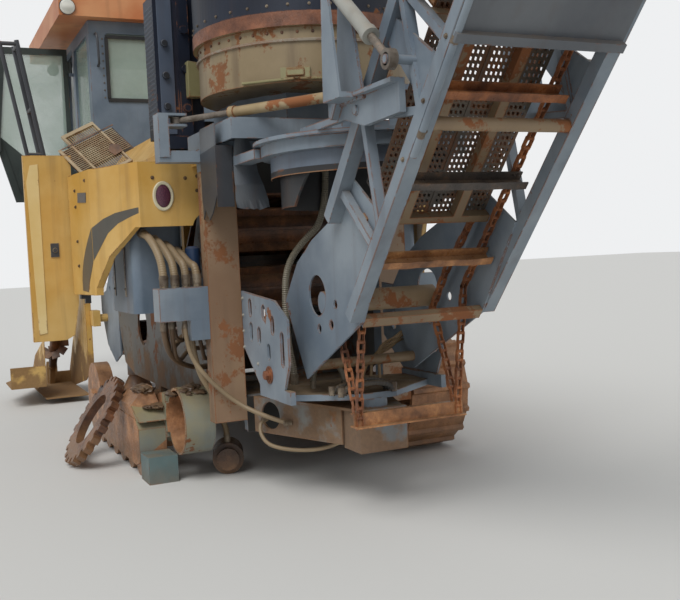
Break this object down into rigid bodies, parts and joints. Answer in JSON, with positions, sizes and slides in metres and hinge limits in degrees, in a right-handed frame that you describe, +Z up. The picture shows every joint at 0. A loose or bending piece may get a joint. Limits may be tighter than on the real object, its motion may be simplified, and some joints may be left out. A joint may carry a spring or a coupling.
{
  "type": "sugarcane harvester",
  "caption": "Tracked sugarcane chopper harvester with slewing elevator, extractor hood, cab, crop dividers and topper, weathered and partly dismantled",
  "frame": {"origin": "on the ground under the middle of the whole machine", "axes": "+X forward, +Y to the machine's left, +Z up"},
  "size_m": [12.7187, 3.105, 5.64],
  "materials": {
    "beige_grille": "beige with rust",
    "block_paint": "muddy",
    "brown_motor": "rusty and oily",
    "cab_glass": "dusty",
    "cab_inside": "torn foam on the seat",
    "cab_paint": "weathered",
    "cover_grey": "dusty",
    "dark_navy_paint": "weathered",
    "dark_tube": "chipped",
    "door_glass_frame": "dusty glass in a dark frame",
    "engine_iron": "oily",
    "faded_orange": "matt, faded and chalky",
    "fan_steel": "worn",
    "grey_blue_paint": "weathered, rust at the edges",
    "pale_grey_barrel": "dusty",
    "rusty_steel": "rusty",
    "rusty_track": "rusty and muddy",
    "tan_hose": "dusty",
    "tank_paint": "weathered",
    "worn_rod": "worn, rust spots",
    "yellow_panel": "faded, with rain streaks"
  },
  "bodies": {
    "chassis": {"cab_fittings": "cab_inside", "cab_glass": "cab_glass", "cab_roof": "faded_orange", "cab_shell": "cab_paint", "cooler_column": "dark_navy_paint", "engine_block": "engine_iron", "engine_hood": "yellow_panel", "extractor_drum": "grey_blue_paint", "fairings": "yellow_panel", "frame_hoses": "tan_hose", "front_frame": "grey_blue_paint", "fuel_tank": "tank_paint", "hydraulic_tank": "tank_paint", "left_sprocket": "rusty_steel", "left_track_beam": "rusty_track", "louvre_grille": "beige_grille", "main_frame": "grey_blue_paint", "right_track": "rusty_track", "right_track_beam": "rusty_track", "side_sheets": "cover_grey", "stand_block": "block_paint", "throat": "rusty_steel", "travel_motor": "brown_motor", "walkways": "dark_tube"},
    "slew_table": {"slew_table": "grey_blue_paint", "foot_hoses": "tan_hose"},
    "elevator": {"elevator_frame": "grey_blue_paint", "elevator_deck": "cover_grey", "elevator_cover": "cover_grey", "elevator_chain": "rusty_steel", "elevator_head": "grey_blue_paint"},
    "extractor_hood": {"extractor_hood": "dark_navy_paint"},
    "extractor_fan": {"extractor_fan": "fan_steel"},
    "secondary_hood": {"secondary_hood": "dark_navy_paint"},
    "secondary_fan": {"secondary_fan": "fan_steel"},
    "lift_barrels": {"lift_barrels": "pale_grey_barrel"},
    "lift_rods": {"lift_rods": "worn_rod"},
    "slew_barrel_left": {"slew_barrel_left": "rusty_steel"},
    "slew_rod_left": {"slew_rod_left": "worn_rod"},
    "slew_barrel_right": {"slew_barrel_right": "rusty_steel"},
    "slew_rod_right": {"slew_rod_right": "worn_rod"},
    "topper_arms": {"topper_arms": "grey_blue_paint"},
    "topper_head": {"topper_head": "grey_blue_paint"},
    "topper_drum_left": {"topper_drum_left": "rusty_steel"},
    "topper_drum_right": {"topper_drum_right": "rusty_steel"},
    "topper_disc": {"topper_disc": "rusty_steel"},
    "divider_left": {"divider_left": "yellow_panel"},
    "divider_right": {"divider_right": "yellow_panel"},
    "scroll_left": {"scroll_left": "rusty_steel"},
    "scroll_right": {"scroll_right": "rusty_steel"},
    "knockdown_roller": {"knockdown_roller": "rusty_steel"},
    "butt_lifter": {"butt_lifter": "rusty_steel"},
    "chopper_top": {"chopper_top": "rusty_steel"},
    "chopper_bottom": {"chopper_bottom": "rusty_steel"},
    "cutter_left": {"cutter_left": "rusty_steel"},
    "cutter_right": {"cutter_right": "rusty_steel"},
    "cab_door_left": {"cab_door_left": "door_glass_frame"},
    "cab_door_right": {"cab_door_right": "door_glass_frame"},
    "side_door_left": {"side_door_left": "yellow_panel"},
    "side_door_right": {"side_door_right": "yellow_panel"}
  },
  "joints": [
    {"name": "elevator_slew", "type": "hinge", "parent": "chassis", "child": "slew_table", "pos_m": [-1.83, 0, 2.065], "axis": [0, 0, 1], "range_deg": [-85, 85]},
    {"name": "elevator_lift", "type": "hinge", "parent": "slew_table", "child": "elevator", "pos_m": [-2.7, 0, 2.11], "axis": [0, 1, 0], "range_deg": [-8, 3]},
    {"name": "lift_barrel_swing", "type": "hinge", "parent": "slew_table", "child": "lift_barrels", "pos_m": [-2.63, 0, 2.67], "axis": [0, 1, 0], "range_deg": [-6, 6]},
    {"name": "lift_rod_stroke", "type": "slide", "parent": "lift_barrels", "child": "lift_rods", "axis": [-0.7719, 0, -0.6357], "range_m": [-0.08, 0.08]},
    {"name": "slew_barrel_left_swing", "type": "hinge", "parent": "slew_table", "child": "slew_barrel_left", "pos_m": [-2.01, 0.187, 2.31], "axis": [0, 0, 1], "range_deg": [-90, 90]},
    {"name": "slew_rod_left_stroke", "type": "slide", "parent": "slew_barrel_left", "child": "slew_rod_left", "axis": [0.8528, 0.5222, 0], "range_m": [-0.28, 0.28]},
    {"name": "slew_barrel_right_swing", "type": "hinge", "parent": "slew_table", "child": "slew_barrel_right", "pos_m": [-2.01, -0.187, 2.31], "axis": [0, 0, 1], "range_deg": [-90, 90]},
    {"name": "slew_rod_right_stroke", "type": "slide", "parent": "slew_barrel_right", "child": "slew_rod_right", "axis": [0.8528, -0.5222, 0], "range_m": [-0.28, 0.28]},
    {"name": "extractor_hood_slew", "type": "hinge", "parent": "chassis", "child": "extractor_hood", "pos_m": [-1.06, 0, 2.83], "axis": [0, 0, 1], "range_deg": [-100, 100]},
    {"name": "extractor_fan_spin", "type": "hinge", "parent": "chassis", "child": "extractor_fan", "pos_m": [-1.06, 0, 2.6], "axis": [0, 0, 1], "continuous": true},
    {"name": "secondary_hood_slew", "type": "hinge", "parent": "elevator", "child": "secondary_hood", "pos_m": [-5.53, 0, 5.2], "axis": [0, 0, 1], "range_deg": [-90, 90]},
    {"name": "secondary_fan_spin", "type": "hinge", "parent": "elevator", "child": "secondary_fan", "pos_m": [-5.53, 0, 5.11], "axis": [0, 0, 1], "continuous": true},
    {"name": "topper_lift", "type": "hinge", "parent": "chassis", "child": "topper_arms", "pos_m": [3.78, 0, 1.78], "axis": [0, -1, 0], "range_deg": [-30, 40]},
    {"name": "topper_level", "type": "hinge", "parent": "topper_arms", "child": "topper_head", "pos_m": [5.5394, 0, 2.3517], "axis": [0, -1, 0], "range_deg": [-40, 30]},
    {"name": "topper_drum_left_spin", "type": "hinge", "parent": "topper_head", "child": "topper_drum_left", "pos_m": [6.0194, 0.56, 2.142], "axis": [0, 0, 1], "continuous": true},
    {"name": "topper_drum_right_spin", "type": "hinge", "parent": "topper_head", "child": "topper_drum_right", "pos_m": [6.0194, -0.56, 2.142], "axis": [0, 0, 1], "continuous": true},
    {"name": "topper_disc_spin", "type": "hinge", "parent": "topper_head", "child": "topper_disc", "pos_m": [5.9594, 0, 2.24], "axis": [0, 0, 1], "continuous": true},
    {"name": "divider_left_lift", "type": "hinge", "parent": "chassis", "child": "divider_left", "pos_m": [3.07, 0.656, 0.9], "axis": [0, -1, 0], "range_deg": [-1, 12]},
    {"name": "divider_right_lift", "type": "hinge", "parent": "chassis", "child": "divider_right", "pos_m": [3.07, -0.656, 0.9], "axis": [0, -1, 0], "range_deg": [-1, 12]},
    {"name": "scroll_left_spin", "type": "hinge", "parent": "divider_left", "child": "scroll_left", "pos_m": [4.63, 0.93, 0.3], "axis": [-0.7431, 0, 0.6691], "continuous": true},
    {"name": "scroll_right_spin", "type": "hinge", "parent": "divider_right", "child": "scroll_right", "pos_m": [4.63, -0.93, 0.3], "axis": [-0.7431, 0, 0.6691], "continuous": true},
    {"name": "knockdown_roller_spin", "type": "hinge", "parent": "chassis", "child": "knockdown_roller", "pos_m": [3.26, 0, 1.04], "axis": [0, 1, 0], "continuous": true},
    {"name": "butt_lifter_spin", "type": "hinge", "parent": "chassis", "child": "butt_lifter", "pos_m": [2.55, 0, 0.76], "axis": [0, 1, 0], "continuous": true},
    {"name": "chopper_top_spin", "type": "hinge", "parent": "chassis", "child": "chopper_top", "pos_m": [-0.56, 0, 1.64], "axis": [0, 1, 0], "continuous": true},
    {"name": "chopper_bottom_spin", "type": "hinge", "parent": "chassis", "child": "chopper_bottom", "pos_m": [-0.56, 0, 1.245], "axis": [0, 1, 0], "continuous": true},
    {"name": "cutter_left_spin", "type": "hinge", "parent": "chassis", "child": "cutter_left", "pos_m": [2.97, 0.31, 0.2], "axis": [0, 0, 1], "continuous": true},
    {"name": "cutter_right_spin", "type": "hinge", "parent": "chassis", "child": "cutter_right", "pos_m": [2.97, -0.31, 0.2], "axis": [0, 0, 1], "continuous": true},
    {"name": "cab_door_left_swing", "type": "hinge", "parent": "chassis", "child": "cab_door_left", "pos_m": [2.78, 0.822, 2.8], "axis": [0, 0, 1], "range_deg": [-90, 25]},
    {"name": "cab_door_right_swing", "type": "hinge", "parent": "chassis", "child": "cab_door_right", "pos_m": [2.78, -0.822, 2.8], "axis": [0, 0, 1], "range_deg": [-115, 0]},
    {"name": "side_door_left_swing", "type": "hinge", "parent": "chassis", "child": "side_door_left", "pos_m": [0.29, 1.26, 1.6], "axis": [0, 0, 1], "range_deg": [-90, 10]},
    {"name": "side_door_right_swing", "type": "hinge", "parent": "chassis", "child": "side_door_right", "pos_m": [0.29, -1.26, 1.6], "axis": [0, 0, 1], "range_deg": [-100, 0]}
  ],
  "couplings": [
    {"joint": "lift_barrel_swing", "follows": "elevator_lift", "ratio": 0.38486},
    {"joint": "lift_rod_stroke", "follows": "elevator_lift", "m_per_rad": -0.38072},
    {"joint": "slew_barrel_left_swing", "follows": "elevator_slew", "ratio": -1},
    {"joint": "slew_rod_left_stroke", "follows": "elevator_slew", "m_per_rad": 0.18},
    {"joint": "slew_barrel_right_swing", "follows": "elevator_slew", "ratio": -1},
    {"joint": "slew_rod_right_stroke", "follows": "elevator_slew", "m_per_rad": -0.18},
    {"joint": "topper_level", "follows": "topper_lift", "ratio": -1},
    {"joint": "chopper_bottom_spin", "follows": "chopper_top_spin", "ratio": -1},
    {"joint": "cutter_right_spin", "follows": "cutter_left_spin", "ratio": -1}
  ]
}
